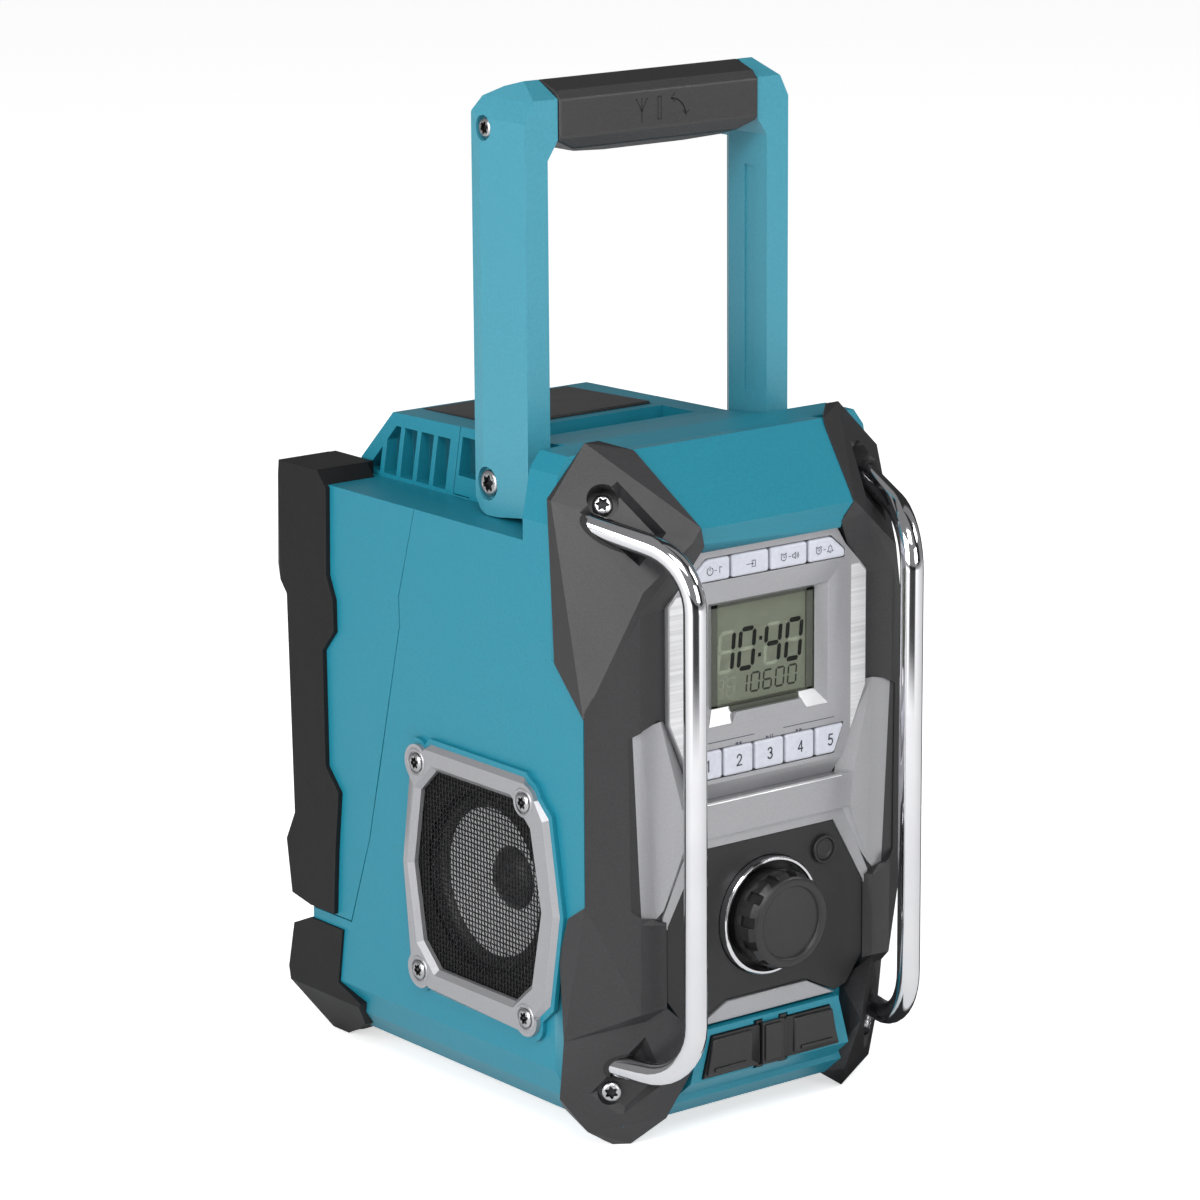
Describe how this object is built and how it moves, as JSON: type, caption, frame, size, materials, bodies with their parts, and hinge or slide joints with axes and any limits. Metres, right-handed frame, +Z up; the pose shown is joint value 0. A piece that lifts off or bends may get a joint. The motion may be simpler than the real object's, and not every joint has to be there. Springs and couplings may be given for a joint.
{
  "type": "jobsite radio",
  "caption": "Portable jobsite radio with side speakers, guard bars, rubber bumpers, keypad, tuning knob, folding carry handle and a hinged rear battery door.",
  "frame": {"origin": "on the floor under the middle of the width, half way along the overall depth with the handle up and every door closed", "axes": "+X to the right seen from the front, the front faces -Y, +Z up"},
  "size_m": [0.1728, 0.2464, 0.4155],
  "materials": {
    "teal_shell": "fine moulded texture",
    "black_rubber": "soft matt moulding",
    "black_plastic": "fine moulded texture",
    "silver_plastic": "satin silver paint",
    "chrome_metal": "bright plated",
    "steel_parts": "plain steel",
    "mesh_metal": "black painted",
    "speaker_metal": "grey painted",
    "cone_paper": "pressed dark paper",
    "display_glass": "clear window",
    "display_body": "display cell",
    "board_green": "circuit board",
    "ferrite": "wound rod",
    "white_keys": "smooth moulding"
  },
  "bodies": {
    "casing": {"main_casing": "teal_shell", "front_casing": "teal_shell", "battery_bay": "black_plastic", "terminal_block": "black_plastic", "front_bumper_left": "black_rubber", "front_bumper_right": "black_rubber", "guard_bar_left": "chrome_metal", "guard_bar_right": "chrome_metal", "bumper_screws": "chrome_metal", "speaker_frame_left": "silver_plastic", "speaker_frame_right": "silver_plastic", "speaker_grille_left": "mesh_metal", "speaker_grille_right": "mesh_metal", "speaker_driver_left": "speaker_metal", "speaker_driver_right": "speaker_metal", "speaker_cone_left": "cone_paper", "speaker_cone_right": "cone_paper", "speaker_screws": "chrome_metal", "console": "silver_plastic", "front_yoke": "silver_plastic", "lcd_module": "display_body", "display_window": "display_glass", "knob_panel": "black_plastic", "knob_ring": "chrome_metal", "encoder_body": "black_plastic", "lower_trim": "silver_plastic", "port_strap": "black_rubber", "usb_socket": "steel_parts", "aux_socket": "black_plastic", "main_board": "board_green", "ferrite_aerial": "ferrite", "rear_foot_left": "black_rubber", "rear_foot_right": "black_rubber", "foot_screws": "chrome_metal", "door_pins": "chrome_metal", "handle_pivots": "chrome_metal"},
    "handle": {"handle_arm_left": "teal_shell", "handle_arm_right": "teal_shell", "grip_core": "black_plastic", "grip_cover": "black_rubber", "grip_screws": "chrome_metal"},
    "rear_door": {"rear_cover": "teal_shell", "top_panel": "black_plastic", "rear_bumper_left": "black_rubber", "rear_bumper_right": "black_rubber"},
    "latch": {"door_latch": "black_plastic"},
    "function_key_1_body": {"function_key_1": "white_keys"},
    "function_key_2_body": {"function_key_2": "white_keys"},
    "function_key_3_body": {"function_key_3": "white_keys"},
    "function_key_4_body": {"function_key_4": "white_keys"},
    "preset_key_1_body": {"preset_key_1": "white_keys"},
    "preset_key_2_body": {"preset_key_2": "white_keys"},
    "preset_key_3_body": {"preset_key_3": "white_keys"},
    "preset_key_4_body": {"preset_key_4": "white_keys"},
    "preset_key_5_body": {"preset_key_5": "white_keys"},
    "button": {"round_button": "black_plastic"},
    "shaft": {"encoder_shaft": "steel_parts"},
    "tuning_knob": {"knob": "black_rubber"},
    "usb_flap": {"usb_cover": "black_rubber"},
    "aux_flap": {"aux_cover": "black_rubber"}
  },
  "joints": [
    {"name": "handle_hinge", "type": "hinge", "parent": "casing", "child": "handle", "pos_m": [0, -0.0028, 0.256], "axis": [-1, 0, 0], "range_deg": [0, 88]},
    {"name": "rear_door_hinge", "type": "hinge", "parent": "casing", "child": "rear_door", "pos_m": [0, 0.1147, 0.057], "axis": [-1, 0, 0], "range_deg": [0, 88]},
    {"name": "latch_slide", "type": "slide", "parent": "rear_door", "child": "latch", "axis": [0, 0, -1], "range_m": [0, 0.005], "stiffness_N_per_m": 200, "springref_m": -0.003},
    {"name": "function_key_1_press", "type": "slide", "parent": "casing", "child": "function_key_1_body", "axis": [0, 1, 0], "range_m": [0, 0.001], "stiffness_N_per_m": 500, "springref_m": -0.0005},
    {"name": "function_key_2_press", "type": "slide", "parent": "casing", "child": "function_key_2_body", "axis": [0, 1, 0], "range_m": [0, 0.001], "stiffness_N_per_m": 500, "springref_m": -0.0005},
    {"name": "function_key_3_press", "type": "slide", "parent": "casing", "child": "function_key_3_body", "axis": [0, 1, 0], "range_m": [0, 0.001], "stiffness_N_per_m": 500, "springref_m": -0.0005},
    {"name": "function_key_4_press", "type": "slide", "parent": "casing", "child": "function_key_4_body", "axis": [0, 1, 0], "range_m": [0, 0.001], "stiffness_N_per_m": 500, "springref_m": -0.0005},
    {"name": "preset_key_1_press", "type": "slide", "parent": "casing", "child": "preset_key_1_body", "axis": [0, 1, 0], "range_m": [0, 0.001], "stiffness_N_per_m": 500, "springref_m": -0.0005},
    {"name": "preset_key_2_press", "type": "slide", "parent": "casing", "child": "preset_key_2_body", "axis": [0, 1, 0], "range_m": [0, 0.001], "stiffness_N_per_m": 500, "springref_m": -0.0005},
    {"name": "preset_key_3_press", "type": "slide", "parent": "casing", "child": "preset_key_3_body", "axis": [0, 1, 0], "range_m": [0, 0.001], "stiffness_N_per_m": 500, "springref_m": -0.0005},
    {"name": "preset_key_4_press", "type": "slide", "parent": "casing", "child": "preset_key_4_body", "axis": [0, 1, 0], "range_m": [0, 0.001], "stiffness_N_per_m": 500, "springref_m": -0.0005},
    {"name": "preset_key_5_press", "type": "slide", "parent": "casing", "child": "preset_key_5_body", "axis": [0, 1, 0], "range_m": [0, 0.001], "stiffness_N_per_m": 500, "springref_m": -0.0005},
    {"name": "button_press", "type": "slide", "parent": "casing", "child": "button", "axis": [0, 1, 0], "range_m": [0, 0.001], "stiffness_N_per_m": 500, "springref_m": -0.0005},
    {"name": "knob_push", "type": "slide", "parent": "casing", "child": "shaft", "axis": [0, 1, 0], "range_m": [0, 0.0012], "stiffness_N_per_m": 1500, "springref_m": -0.0008},
    {"name": "knob_turn", "type": "hinge", "parent": "shaft", "child": "tuning_knob", "pos_m": [0, -0.0998, 0.0885], "axis": [0, -1, 0], "continuous": true},
    {"name": "usb_flap_hinge", "type": "hinge", "parent": "casing", "child": "usb_flap", "pos_m": [-0.0071, -0.0982, 0.0365], "axis": [0, 0, 1], "range_deg": [0, 95]},
    {"name": "aux_flap_hinge", "type": "hinge", "parent": "casing", "child": "aux_flap", "pos_m": [0.0071, -0.0982, 0.0365], "axis": [0, 0, -1], "range_deg": [0, 95]}
  ]
}
